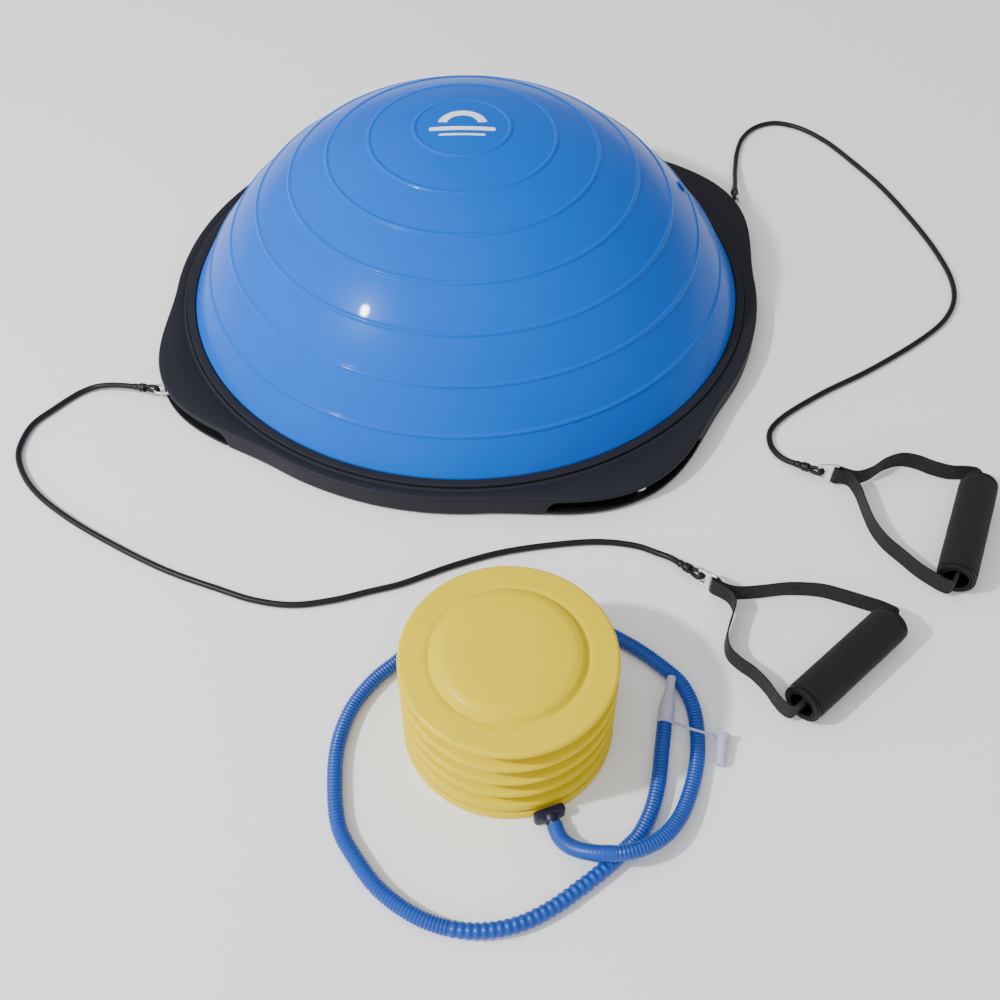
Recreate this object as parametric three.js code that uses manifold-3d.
// Balance dome trainer with two elastic pull cords and the foot pump that inflates it.
// Millimetres, +Z up. The origin is the centre of the underside, on the floor plane.
import * as THREE from 'three';
import { mergeVertices } from 'three/addons/utils/BufferGeometryUtils.js';
import Module from 'manifold-3d';

const wasm = await Module();
wasm.setup();
const rad = THREE.MathUtils.degToRad;

// Platform: a round tray with four hand-grip lobes
const LOBES = { right: 27, back: 118, left: 209, front: 300 };
const LOBE_HALF_ANGLE = 27;
const LOBE_RISE = 29;
const RIM_RADIUS = 322.5;
const OUTLINE_STEP = 6;
const SKIRT_WALL = 3;
const SKIRT_BOTTOM = 3.2;
const DECK_UNDER = 21.2;
const DECK_TOP = 25;
const DECK_EDGE = 2.5;
const SLOT_HALF_ANGLE = 16;
const SLOT_TOP = 20.5;
const SLOT_DEPTH_RADIUS = 307;
const PLATE_TOP = 6.7;
const GAP = 0.3;

// Dome: an air bladder whose flange is clamped between the base plate and the deck
const DOME_RADIUS = 298;
const DOME_FOOT_Z = 28;
const DOME_TOP_Z = 221;
const DOME_ROUND = 0.64;
const DOME_WALL = 2.4;
const DOME_SKIRT_RADIUS = 298.3;
const FLANGE = { inner: 292, outer: 307, bottom: 17.2, top: 20.9 };
const OPENING_RADIUS = 298.9;
const RING_SEAT = { outer: 308.4, z: 23.2 };
const BIG_SEGMENTS = 40;

// Air valve on the right-hand side of the dome
const VALVE_RADIUS = 240;
const VALVE_AZIMUTH = 12;

// Fixings
const BOSS = { radius: 4.8, at: 313.5, spread: 15, bore: 2.2, boreTop: 18 };
const POST = { at: 343, radius: 3, head: 5, headTop: 5.2 };
const PAD = { at: 318, radius: 14, centreRadius: 30, height: 2.9 };

// Swivel rings, cord eyes and crimped ferrules
const WIRE = 3;
const RING_HALF_WIDTH = 6;
const RING_STRAIGHT = 14;
const RING_Z = 17;
const RING_YAW = { right: 0, back: 298, left: 180, front: 120 };
const EYE_RADIUS = 1.6;
const EYE_BEND = 3.9;
const EYE_REACH = 10.7;
const FERRULE = { start: 11, length: 14, big: 4.6, small: 3.6 };
const CORD_RADIUS = 3;
const RING_DROOP = 8;
const LINK_DROOP = 14;

// Handles: stamped link, webbing loop, foam grip on a tube
const LINK = { bar: 16.5, tail: 18, thick: 2.4, centreZ: 14 };
const WEBBING = { width: 20, thick: 1.5, bend: 2.75 };
const GRIP = { length: 124, z: 18.2, bore: 11.5, tube: 13, foam: 18, collar: 17.5, collarLength: 4.5 };

// Foot pump and its hose
const PUMP = { x: 44, y: -545, radius: 88, bellows: 87, valley: 74, wall: 2.2 };
const PUMP_SEGMENTS = 24;
const OUTLET_AZIMUTH = -69.5;
const HOSE_RADIUS = 6.5;

const FINISH = {
  deck: { color: 0x36383f, roughness: 0.55, metalness: 0 },
  black: { color: 0x1d1d20, roughness: 0.6, metalness: 0 },
  blueVinyl: { color: 0x2f86dc, roughness: 0.25, metalness: 0 },
  rubber: { color: 0x222225, roughness: 0.85, metalness: 0 },
  steel: { color: 0xb9bcc2, roughness: 0.3, metalness: 1 },
  cord: { color: 0x2b2c33, roughness: 0.75, metalness: 0 },
  webbing: { color: 0x1f2026, roughness: 0.9, metalness: 0 },
  foam: { color: 0x282324, roughness: 0.95, metalness: 0 },
  yellow: { color: 0xe6cf3a, roughness: 0.4, metalness: 0 },
  navy: { color: 0x2a2654, roughness: 0.45, metalness: 0 },
  hose: { color: 0x3b78c9, roughness: 0.4, metalness: 0 },
  grey: { color: 0xc5c8d3, roughness: 0.45, metalness: 0 },
};

const trainer = new THREE.Group();

// ---- geometry helpers ----

// Surface of revolution about +Z from [radius, z] points, anticlockwise round the material.
function revolve(profile, segments) {
  const points = profile.map(([r, z]) => new THREE.Vector2(r, z));
  const geometry = new THREE.LatheGeometry(points, segments);
  geometry.rotateX(Math.PI / 2);
  return geometry;
}

function disc(radius, bottom, top, segments = 16) {
  return revolve([[0, bottom], [radius, bottom], [radius, top], [0, top]], segments);
}

function collar(inner, outer, bottom, top, segments = 18) {
  const profile = [[inner, bottom], [outer, bottom], [outer, top], [inner, top], [inner, bottom]];
  return revolve(profile, segments);
}

// Flat shape standing from one height to another, its edges chamfered by `bevel`.
function slab(shape, bottom, top, bevel = 0) {
  const geometry = new THREE.ExtrudeGeometry(shape, {
    depth: top - bottom - 2 * bevel,
    curveSegments: 3,
    bevelEnabled: bevel > 0,
    bevelThickness: bevel,
    bevelSize: bevel,
    bevelOffset: -bevel,
    bevelSegments: 1,
  });
  geometry.translate(0, 0, bottom + bevel);
  return geometry;
}

function sweep(section, curve, steps, curveSegments = 4) {
  return new THREE.ExtrudeGeometry(section, { steps, extrudePath: curve, curveSegments });
}

function routeOf(points) {
  return new THREE.CatmullRomCurve3(points.map((p) => new THREE.Vector3(...p)));
}

function roundSection(radius) {
  return new THREE.Shape().absarc(0, 0, radius, 0, 2 * Math.PI);
}

function tube(points, radius, steps) {
  return sweep(roundSection(radius), routeOf(points), steps);
}

function polygon(points) {
  return new THREE.Shape(points.map(([x, y]) => new THREE.Vector2(x, y)));
}

function polar(radius, azimuth) {
  return [radius * Math.cos(rad(azimuth)), radius * Math.sin(rad(azimuth))];
}

// ---- solids that are joined or cut ----

function solid(geometry) {
  const bare = geometry.clone();
  bare.deleteAttribute('normal');
  bare.deleteAttribute('uv');
  const welded = mergeVertices(bare);
  const corners = welded.index.array;
  const kept = [];
  for (let i = 0; i < corners.length; i += 3) {
    const [a, b, c] = corners.slice(i, i + 3);
    if (a !== b && b !== c && c !== a) kept.push(a, b, c);
  }
  return new wasm.Manifold(new wasm.Mesh({
    numProp: 3,
    vertProperties: new Float32Array(welded.attributes.position.array),
    triVerts: new Uint32Array(kept),
  }));
}

function surface(body) {
  const mesh = body.getMesh();
  const geometry = new THREE.BufferGeometry();
  geometry.setAttribute('position', new THREE.BufferAttribute(mesh.vertProperties, 3));
  geometry.setIndex(new THREE.BufferAttribute(mesh.triVerts, 1));
  geometry.computeVertexNormals();
  return geometry;
}

function add(parent, name, geometry, finish) {
  const mesh = new THREE.Mesh(geometry, new THREE.MeshStandardMaterial(finish));
  mesh.name = name;
  parent.add(mesh);
  return mesh;
}

// A group standing at a point, turned about Z by `yaw` and tipped down by `droop` degrees.
function stand(parent, [x, y, z], yaw = 0, droop = 0) {
  const group = new THREE.Group();
  group.position.set(x, y, z);
  group.rotation.set(0, rad(droop), rad(yaw), 'ZYX');
  parent.add(group);
  return group;
}

// ---- platform ----

function outlineRadius(azimuth) {
  let radius = RIM_RADIUS;
  for (const lobe of Object.values(LOBES)) {
    const away = Math.abs(((azimuth - lobe + 540) % 360) - 180);
    if (away < LOBE_HALF_ANGLE) {
      radius += LOBE_RISE * Math.cos(rad((90 * away) / LOBE_HALF_ANGLE)) ** 2;
    }
  }
  return radius;
}

function outline(inset) {
  const points = [];
  for (let azimuth = 0; azimuth < 360; azimuth += OUTLINE_STEP) {
    points.push(polar(outlineRadius(azimuth) - inset, azimuth));
  }
  return polygon(points);
}

// Sector of a ring about a lobe, used to open the hand-grip slots.
function sector(lobe, halfAngle, inner, outer) {
  const points = [];
  for (let i = -4; i <= 4; i += 1) points.push(polar(outer, lobe + (i * halfAngle) / 4));
  for (let i = 4; i >= -4; i -= 1) points.push(polar(inner, lobe + (i * halfAngle) / 4));
  return polygon(points);
}

// The eight screws stand in pairs on the flats between the lobes.
function screwPlaces() {
  const places = [];
  for (const lobe of Object.values(LOBES)) {
    const flat = lobe + 45.5;
    places.push(polar(BOSS.at, flat - BOSS.spread), polar(BOSS.at, flat + BOSS.spread));
  }
  return places;
}

function platformShell() {
  let body = solid(slab(outline(0), 0.5, DECK_TOP, DECK_EDGE));
  body = body.subtract(solid(slab(outline(SKIRT_WALL), -1, DECK_UNDER)));
  body = body.subtract(solid(disc(400, -1, SKIRT_BOTTOM, 12)));
  for (const lobe of Object.values(LOBES)) {
    const slot = sector(lobe, SLOT_HALF_ANGLE, SLOT_DEPTH_RADIUS, 370);
    body = body.subtract(solid(slab(slot, -1, SLOT_TOP)));
  }
  body = body.subtract(solid(disc(OPENING_RADIUS, 20, 26, BIG_SEGMENTS)));
  body = body.subtract(solid(disc(RING_SEAT.outer, RING_SEAT.z, 26, BIG_SEGMENTS)));
  for (const [x, y] of screwPlaces()) {
    const boss = disc(BOSS.radius, PLATE_TOP + GAP, DECK_UNDER + 1, 10);
    const bore = disc(BOSS.bore, 6, BOSS.boreTop, 8);
    body = body.add(solid(boss.translate(x, y, 0)));
    body = body.subtract(solid(bore.translate(x, y, 0)));
  }
  return surface(body);
}

function basePlate() {
  let body = solid(slab(outline(SKIRT_WALL + GAP), SKIRT_BOTTOM, PLATE_TOP));
  const full = solid(slab(outline(0), SKIRT_BOTTOM, PLATE_TOP));
  for (const lobe of Object.values(LOBES)) {
    const tongue = slab(sector(lobe, SLOT_HALF_ANGLE - 0.1, 290, 370), 3, 7);
    body = body.add(full.intersect(solid(tongue)));
  }
  const wall = collar(292, 306, PLATE_TOP - 1, FLANGE.bottom - GAP, BIG_SEGMENTS);
  body = body.add(solid(wall));
  for (const [x, y] of screwPlaces()) {
    const sink = [[0, 3], [4.5, 3], [4.5, 3.6], [2.3, 5.8], [2.3, 8], [0, 8]];
    body = body.subtract(solid(revolve(sink, 8).translate(x, y, 0)));
  }
  for (const lobe of Object.values(LOBES)) {
    const [x, y] = polar(POST.at, lobe);
    const low = POST.headTop + GAP;
    const step = [[0, 3], [POST.head + GAP, 3], [POST.head + GAP, low], [POST.radius + GAP, low],
      [POST.radius + GAP, 8], [0, 8]];
    body = body.subtract(solid(revolve(step, 12).translate(x, y, 0)));
  }
  return surface(body);
}

add(trainer, 'platform_shell', platformShell(), FINISH.deck);
add(trainer, 'base_plate', basePlate(), FINISH.black);

const ringProfile = [[299.2, 23.5], [308, 23.5], [308, 26.3], [306.8, 27.5], [300.4, 27.5],
  [299.2, 26.6], [299.2, 23.5]];
add(trainer, 'retaining_ring', revolve(ringProfile, BIG_SEGMENTS), FINISH.deck);

const screwProfile = [[0, 3.4], [3.9, 3.4], [1.9, 5.6], [1.9, 16.4], [1, 17.6], [0, 17.6]];
screwPlaces().forEach(([x, y], i) => {
  const place = stand(trainer, [x, y, 0]);
  add(place, `screw_${i + 1}`, revolve(screwProfile, 8), FINISH.steel);
});

for (const [side, lobe] of Object.entries(LOBES)) {
  const place = stand(trainer, [...polar(PAD.at, lobe), 0]);
  add(place, `foot_pad_${side}`, disc(PAD.radius, 0, PAD.height), FINISH.rubber);
}
add(trainer, 'foot_pad_centre', disc(PAD.centreRadius, 0, PAD.height, 32), FINISH.rubber);

// ---- dome ----

function domeZ(r) {
  const u = (r / DOME_RADIUS) ** 2;
  return DOME_TOP_Z - (DOME_TOP_Z - DOME_FOOT_Z) * (DOME_ROUND * u + (1 - DOME_ROUND) * u * u);
}

// Angle between the outward normal and +Z at radius r.
function domeTilt(r) {
  const u = (r / DOME_RADIUS) ** 2;
  const fall = (DOME_TOP_Z - DOME_FOOT_Z) * (2 * r) * (DOME_ROUND + 2 * (1 - DOME_ROUND) * u);
  return Math.atan(fall / DOME_RADIUS ** 2);
}

function domeProfile() {
  const outside = [];
  const inside = [];
  for (let i = 0; i <= 10; i += 1) {
    const r = DOME_RADIUS * Math.sin(rad(i * 9));
    outside.push([r, domeZ(r)]);
    if (i % 2 === 0) {
      inside.push([r - DOME_WALL * Math.sin(domeTilt(r)), domeZ(r) - DOME_WALL * Math.cos(domeTilt(r))]);
    }
  }
  const foot = [[295.9, 25], [FLANGE.inner, FLANGE.top], [FLANGE.inner, FLANGE.bottom],
    [FLANGE.outer, FLANGE.bottom], [FLANGE.outer, FLANGE.top], [DOME_SKIRT_RADIUS, FLANGE.top],
    [DOME_SKIRT_RADIUS, DOME_FOOT_Z - 0.5]];
  return [...inside, ...foot, ...outside.reverse()];
}

const valve = stand(trainer, [...polar(VALVE_RADIUS, VALVE_AZIMUTH), domeZ(VALVE_RADIUS)],
  VALVE_AZIMUTH);
valve.rotation.y = domeTilt(VALVE_RADIUS);
valve.updateMatrixWorld(true);

const valveHole = disc(8.3, -8, 5).applyMatrix4(valve.matrixWorld);
const bladder = solid(revolve(domeProfile(), BIG_SEGMENTS)).subtract(solid(valveHole));
add(trainer, 'dome', surface(bladder), FINISH.blueVinyl);

const floorProfile = [[0, 7], [291.6, 7], [291.6, 20.4], [289.3, 20.4], [289.3, 9.2], [0, 9.2]];
add(trainer, 'bladder_floor', revolve(floorProfile, BIG_SEGMENTS), FINISH.blueVinyl);

const seatProfile = [[4.2, -6.6], [13, -6.6], [13, -5.1], [8, -5.1], [8, 0.4], [4.2, 0.4],
  [4.2, -6.6]];
add(valve, 'valve_seat', revolve(seatProfile, 16), FINISH.blueVinyl);
const plugProfile = [[0, -6], [2.6, -6], [3.8, -4], [3.8, 0.8], [6, 0.8], [6, 1.6], [5, 2.1],
  [0, 2.1]];
add(valve, 'valve_plug', revolve(plugProfile, 12), FINISH.blueVinyl);

// ---- swivel rings on their posts ----

// Long wire loop: a half circle round the origin, a straight run along +X, a half circle.
function racetrack(halfWidth) {
  const shape = new THREE.Shape();
  shape.absarc(0, 0, halfWidth, Math.PI / 2, (3 * Math.PI) / 2, false);
  shape.absarc(RING_STRAIGHT, 0, halfWidth, -Math.PI / 2, Math.PI / 2, false);
  shape.closePath();
  return shape;
}

function swivelRing() {
  const shape = racetrack(RING_HALF_WIDTH + WIRE / 2);
  shape.holes.push(racetrack(RING_HALF_WIDTH - WIRE / 2));
  return slab(shape, -WIRE / 2, WIRE / 2, 0.85);
}

const postProfile = [[0, 3.4], [POST.head, 3.4], [POST.head, POST.headTop],
  [POST.radius, POST.headTop], [POST.radius, DECK_UNDER - GAP], [0, DECK_UNDER - GAP]];
for (const [side, lobe] of Object.entries(LOBES)) {
  const place = stand(trainer, [...polar(POST.at, lobe), 0]);
  add(place, `ring_post_${side}`, revolve(postProfile, 12), FINISH.steel);
  const swivel = stand(place, [0, 0, RING_Z], RING_YAW[side]);
  add(swivel, `swivel_ring_${side}`, swivelRing(), FINISH.steel);
}

// ---- cords: the looped end, the crimp that closes it, and the run between ----

// Cord bent round a wire at the origin, its two legs running along +X into the ferrule.
function cordEye() {
  const points = [];
  const leg = 2.2;
  points.push([EYE_REACH, 0, leg], [8, 0, leg + 0.2], [4, 0, EYE_BEND - 0.5]);
  for (let turn = 75; turn <= 285; turn += 35) {
    points.push([EYE_BEND * Math.cos(rad(turn)), 0, EYE_BEND * Math.sin(rad(turn))]);
  }
  points.push([4, 0, 0.5 - EYE_BEND], [8, 0, -leg - 0.2], [EYE_REACH, 0, -leg]);
  return tube(points, EYE_RADIUS, 17);
}

const ferruleProfile = [[0, 0], [FERRULE.big - 0.6, 0], [FERRULE.big, 0.8], [FERRULE.big, 6.2],
  [FERRULE.small, 7.4], [FERRULE.small, FERRULE.length], [0, FERRULE.length]];

function addCordEnd(name, place, upright) {
  const eye = add(place, `${name}_eye`, cordEye(), FINISH.cord);
  eye.rotation.x = upright ? 0 : Math.PI / 2;
  const ferrule = add(place, `${name}_ferrule`, revolve(ferruleProfile, 12), FINISH.cord);
  ferrule.position.x = FERRULE.start;
  ferrule.rotation.y = Math.PI / 2;
}

// Left cord: from the left ring round in front of the platform to the front handle.
const LEFT_CORD = [
  [-344.2, -159.2, 13.5], [-358, -155.3, 11.2], [-374, -151, 7.2], [-388, -150.5, 4.4],
  [-402, -157.5, 3.3], [-423, -180, 3.2], [-441, -204, 3.2], [-446, -227, 3.2], [-445, -246, 3.2],
  [-433, -272, 3.2], [-413, -297, 3.2], [-375, -328, 3.2], [-325, -360, 3.2], [-272, -389, 3.2],
  [-221, -410, 3.2], [-185, -423, 3.2], [-150, -428, 3.2], [-115, -423, 3.2], [-81, -413, 3.2],
  [-54, -405, 3.2], [-9, -385, 3.2], [37, -369, 3.2], [84, -360, 3.2], [132, -356, 3.2],
  [166, -361, 3.2], [184, -369.5, 3.8], [195.2, -376.4, 5.7], [202.3, -383.8, 7.9],
];
// Right cord: from the right ring out and back beside the platform to the right handle.
const RIGHT_CORD = [
  [325.5, 186.4, 13.5], [328, 200, 11.4], [331, 222, 7.6], [335, 245, 4.6], [341, 275, 3.3],
  [353, 309, 3.2], [374, 334, 3.2], [400, 343, 3.2], [428, 333, 3.2], [457, 304, 3.2],
  [484, 258, 3.2], [510, 205, 3.2], [532, 142, 3.2], [549, 77, 3.2], [555, 24, 3.2],
  [549, -12, 3.2], [531, -44, 3.2], [499, -75, 3.2], [432, -124, 3.2], [372, -161, 3.2],
  [325, -197, 3.2], [312, -215, 3.2], [310.5, -233, 3.3], [315.5, -246.5, 4], [323.2, -256, 5.7],
  [329.5, -261.2, 7.9],
];
add(trainer, 'cord_left', tube(LEFT_CORD, CORD_RADIUS, 46), FINISH.cord);
add(trainer, 'cord_right', tube(RIGHT_CORD, CORD_RADIUS, 46), FINISH.cord);

addCordEnd('left_ring', stand(trainer, [-320, -166.3, RING_Z], 163.5, RING_DROOP), true);
addCordEnd('right_ring', stand(trainer, [321.2, 161.5, RING_Z], 80, RING_DROOP), true);

// ---- handles ----

// Link plate in its own plane: X away from the cord, Y upward, the cord's rim at X = 0.
function linkPlate() {
  const shape = polygon([[-1.5, -9], [-0.5, -10], [12, -12.6], [17, -13], [18, -12], [18, 12],
    [17, 13], [12, 12.6], [-0.5, 10], [-1.5, 9]]);
  const cordSlot = polygon([[1.5, -6], [2.5, -7], [6, -7], [7, -6], [7, 6], [6, 7], [2.5, 7],
    [1.5, 6]]);
  const webbingSlot = polygon([[12.4, -11], [15, -11], [15, 11], [12.4, 11]]);
  shape.holes.push(cordSlot, webbingSlot);
  const plate = slab(shape, -LINK.thick / 2, LINK.thick / 2, 0.5);
  plate.rotateX(Math.PI / 2);
  return plate;
}

const HANDLES = {
  right: {
    rim: [349, -277],
    linkYaw: -14,
    cordYaw: 141,
    grip: [474, -354],
    gripYaw: 66,
    away: [[501.5, -290.5, 17.2], [499.5, -282.5, 15.4], [491, -278.3, 13.4], [478, -276.5, 12],
      [463, -270.5, 11.4], [448, -262, 11.2], [434, -259, 11.2], [417, -265, 11.4],
      [401, -277, 12], [389, -283, 12.8], [381, -284.4, 13.4]],
    back: [[378, -287, 13.2], [383, -301, 12.4], [385.5, -321, 11.6], [389, -343, 11.2],
      [396.5, -362, 11.2], [408.5, -379, 11.4], [420, -395, 12], [430, -406, 13],
      [437.5, -414, 14.6], [443, -417.6, 16], [446.7, -415.6, 17.2]],
  },
  front: {
    rim: [218.9, -402.2],
    linkYaw: -43,
    cordYaw: 132,
    grip: [334.5, -498.5],
    gripYaw: 41.8,
    away: [[385.7, -453, 17.2], [387, -447.6, 16], [383.5, -443.5, 14.6], [376, -437.5, 13],
      [361, -430.5, 12], [346, -424, 11.4], [329, -418, 11.2], [313, -416, 11.2],
      [295, -416, 11.4], [276, -419, 12], [258, -421.4, 12.8], [247, -421.4, 13.4]],
    back: [[243.6, -426, 13.2], [246.8, -436, 12.6], [243, -448, 11.8], [238, -461, 11.4],
      [235, -473, 11.2], [236, -484, 11.2], [243, -494, 11.2], [254.5, -505, 11.6],
      [264, -519, 12.2], [269, -531, 13.4], [274.5, -541, 15], [280, -545.4, 16.4],
      [284.7, -543.2, 17.4]],
  },
};

// One length of webbing: out of the grip, round the link's bar and back into the grip.
function webbingRoute({ rim, linkYaw, grip, gripYaw, away, back }) {
  const [ax, ay] = polar(1, gripYaw);
  const [ux, uy] = polar(1, linkYaw);
  const inGrip = (s) => [grip[0] + s * ax, grip[1] + s * ay, GRIP.z];
  const atBar = (u, v) => [rim[0] + u * ux - v * uy, rim[1] + u * uy + v * ux, 13.8];
  const round = [75, 120, 180, 240, 285].map((turn) => atBar(
    LINK.bar + WEBBING.bend * Math.cos(rad(turn)),
    WEBBING.bend * Math.sin(rad(turn)),
  ));
  return [
    inGrip(1.5), inGrip(20), inGrip(40), inGrip(56), inGrip(62), ...away,
    atBar(24, 1.35), ...round, atBar(24, -1.35), ...back,
    inGrip(-62), inGrip(-56), inGrip(-40), inGrip(-20), inGrip(-1.5),
  ];
}

// A route for webbing standing on edge: its cross-sections stay upright, and they crowd
// together where the route's own points do.
class UprightRoute extends THREE.CatmullRomCurve3 {
  getUtoTmapping(u) {
    return u;
  }

  computeFrenetFrames(segments) {
    const frames = { tangents: [], normals: [], binormals: [] };
    for (let i = 0; i <= segments; i += 1) {
      const tangent = this.getTangent(i / segments).setZ(0).normalize();
      const down = new THREE.Vector3(0, 0, -1);
      frames.tangents.push(tangent);
      frames.normals.push(down);
      frames.binormals.push(tangent.clone().cross(down));
    }
    return frames;
  }
}

function webbing(handle) {
  const { width, thick } = WEBBING;
  const section = polygon([[-width / 2, -thick / 2], [width / 2, -thick / 2],
    [width / 2, thick / 2], [-width / 2, thick / 2]]);
  const points = webbingRoute(handle).map((p) => new THREE.Vector3(...p));
  return sweep(section, new UprightRoute(points), 2 * (points.length - 1));
}

const collarProfile = [[13.3, 0], [16.6, 0], [17.5, 0.9], [17.5, 3.6], [16.6, 4.5], [13.3, 4.5],
  [13.3, 0]];
for (const [side, handle] of Object.entries(HANDLES)) {
  const link = stand(trainer, [...handle.rim, LINK.centreZ], handle.linkYaw);
  add(link, `link_${side}`, linkPlate(), FINISH.steel);
  const pull = stand(trainer, [...handle.rim, LINK.centreZ], handle.cordYaw, LINK_DROOP);
  addCordEnd(`${side}_link`, pull, false);
  add(trainer, `webbing_${side}`, webbing(handle), FINISH.webbing);

  const grip = stand(trainer, [...handle.grip, GRIP.z], handle.gripYaw);
  const along = new THREE.Group();
  along.rotation.y = Math.PI / 2;
  grip.add(along);
  const half = GRIP.length / 2;
  const foamHalf = half - GRIP.collarLength - GAP;
  add(along, `grip_tube_${side}`, collar(GRIP.bore, GRIP.tube, -half, half), FINISH.black);
  add(along, `grip_foam_${side}`, collar(GRIP.tube + GAP, GRIP.foam, -foamHalf, foamHalf),
    FINISH.foam);
  const nearCollar = add(along, `grip_collar_${side}_near`, revolve(collarProfile, 16), FINISH.black);
  nearCollar.position.z = -half;
  const farCollar = add(along, `grip_collar_${side}_far`, revolve(collarProfile, 16), FINISH.black);
  farCollar.position.z = half - GRIP.collarLength;
}

// ---- foot pump ----

const pump = stand(trainer, [PUMP.x, PUMP.y, 0]);
const INLET = { at: 57, azimuth: 120, hole: 6 };

function pumpBase() {
  const profile = [[0, 0], [86.5, 0], [PUMP.radius, 1.5], [PUMP.radius, 7], [87, 8], [80, 8],
    [80, 6], [0, 6]];
  const inlet = disc(INLET.hole, -1, 9).translate(...polar(INLET.at, INLET.azimuth), 0);
  const outlet = disc(2.8, 74, 92, 12).rotateY(Math.PI / 2).translate(0, 0, 4.5);
  outlet.rotateZ(rad(OUTLET_AZIMUTH));
  return surface(solid(revolve(profile, PUMP_SEGMENTS)).subtract(solid(inlet)).subtract(solid(outlet)));
}

// Folded wall: [radius, z] up the outside, then the same line back down inside.
function pumpBellows() {
  const folds = [[84, 8.3], [86, 14], [PUMP.bellows, 18]];
  for (let fold = 0; fold < 3; fold += 1) {
    folds.push([PUMP.valley, 28.2 + 20.6 * fold], [PUMP.bellows, 38.6 + 20.6 * fold]);
  }
  folds.push([PUMP.valley + 2, 90.4], [84, 97.7]);
  const inside = folds.map(([r, z]) => [r - PUMP.wall, z]).reverse();
  return revolve([inside[inside.length - 1], ...folds, ...inside], PUMP_SEGMENTS);
}

class Helix extends THREE.Curve {
  constructor(radius, bottom, top, turns) {
    super();
    Object.assign(this, { radius, bottom, top, turns });
  }

  getPoint(t, target = new THREE.Vector3()) {
    const angle = 2 * Math.PI * this.turns * t;
    const z = this.bottom + (this.top - this.bottom) * t;
    return target.set(this.radius * Math.cos(angle), this.radius * Math.sin(angle), z);
  }
}

add(pump, 'pump_base', pumpBase(), FINISH.yellow);
add(pump, 'pump_bellows', pumpBellows(), FINISH.yellow);
const topProfile = [[0, 109], [50, 102], [56, 98], [86, 98], [87, 99.5], [87, 103], [85.5, 105],
  [66, 105.6], [62, 104.4], [59.5, 106.6], [50, 110.6], [30, 113.8], [0, 115]];
add(pump, 'pump_top', revolve(topProfile, PUMP_SEGMENTS), FINISH.yellow);
add(pump, 'pump_spring', sweep(roundSection(2), new Helix(34, 8.6, 100, 5), 40, 3), FINISH.steel);

const flapPlace = stand(pump, [...polar(INLET.at, INLET.azimuth), 6.3], INLET.azimuth);
const flapShape = polygon([[-13, -8], [-10, -10], [13, -10], [13, 10], [-10, 10], [-13, 8]]);
add(flapPlace, 'inlet_flap', slab(flapShape, 0, 1.2), FINISH.rubber);

function hoseConnector() {
  const block = polygon([[88.5, -14], [90.5, -16.5], [96, -16.5], [98.5, -13], [98.5, 13],
    [96, 16.5], [90.5, 16.5], [88.5, 14]]);
  const body = solid(slab(block, 1, 17, 1.5));
  const spigot = disc(2.4, 81, 90, 12).rotateY(Math.PI / 2).translate(0, 0, 4.5);
  const stub = disc(5.4, 97, 102.4, 16).rotateY(Math.PI / 2).translate(0, 0, 8);
  return surface(body.add(solid(spigot)).add(solid(stub)));
}
add(stand(pump, [0, 0, 0], OUTLET_AZIMUTH), 'hose_connector', hoseConnector(), FINISH.navy);

const HOSE = [
  [80.1, -641.3, 8], [84.2, -652, 8.8], [92, -661, 12.5], [104, -667, 17], [118, -669.6, 20.2],
  [133, -669.2, 20.8], [148, -664.4, 19.2], [164, -654, 15.5], [176, -640, 12],
  [185, -624, 9.4], [197, -590, 7.2], [201, -561, 6.8], [200, -535, 6.8], [192, -512, 6.8],
  [174, -492, 6.8], [150, -472, 6.8], [108, -449, 6.8], [44, -441, 6.8], [-20, -458, 6.8],
  [-52, -490, 6.8], [-70, -508, 6.8], [-87, -535, 6.8], [-96, -568, 6.8], [-96, -604, 6.8],
  [-89, -643, 6.8], [-75, -667, 6.8], [-56, -691, 6.8], [-29, -711, 6.8], [-4, -721, 6.8],
  [22, -724, 6.8], [51, -719, 6.8], [76, -707, 6.8], [96, -693, 6.8], [118, -676, 6.8],
  [134, -661, 6.8], [146, -649, 6.8], [157, -629, 6.8], [165, -604, 6.8], [170, -577, 6.9],
  [174.4, -552, 7.6],
];
add(trainer, 'hose', tube(HOSE, HOSE_RADIUS, 56), FINISH.hose);

// Turned pieces lying along a line from one point towards another.
function addLying(name, profile, from, towards, finish, segments = 12) {
  const mesh = add(trainer, name, revolve(profile, segments), finish);
  const start = new THREE.Vector3(...from);
  const line = new THREE.Vector3(...towards).sub(start).normalize();
  mesh.position.copy(start);
  mesh.quaternion.setFromUnitVectors(new THREE.Vector3(0, 0, 1), line);
}

const nozzleProfile = [[2, 0], [7, 0], [7, 3], [6.2, 4], [6.2, 18], [5, 19.5], [4.2, 40], [3.4, 42],
  [2, 42], [2, 0]];
addLying('nozzle', nozzleProfile, [174.6, -551, 7.8], [183.8, -508.5, 16.6], FINISH.grey);

const TETHER = [
  [182.6, -551.4, 9.6], [186.5, -554.8, 12], [193, -559.4, 14.7], [200.5, -562.4, 15.4],
  [207, -563.4, 13.6], [211.3, -563, 11], [214.4, -562.6, 8.8],
];
add(trainer, 'tether', tube(TETHER, 1.2, 10), FINISH.grey);

const capProfile = [[0, 0], [6.2, 0], [6.8, 0.6], [6.8, 3], [5, 3.8], [4.4, 24], [3, 27], [0, 27]];
addLying('nozzle_cap', capProfile, [222, -561.5, 7], [217, -588, 5.2], FINISH.grey);

export default trainer;
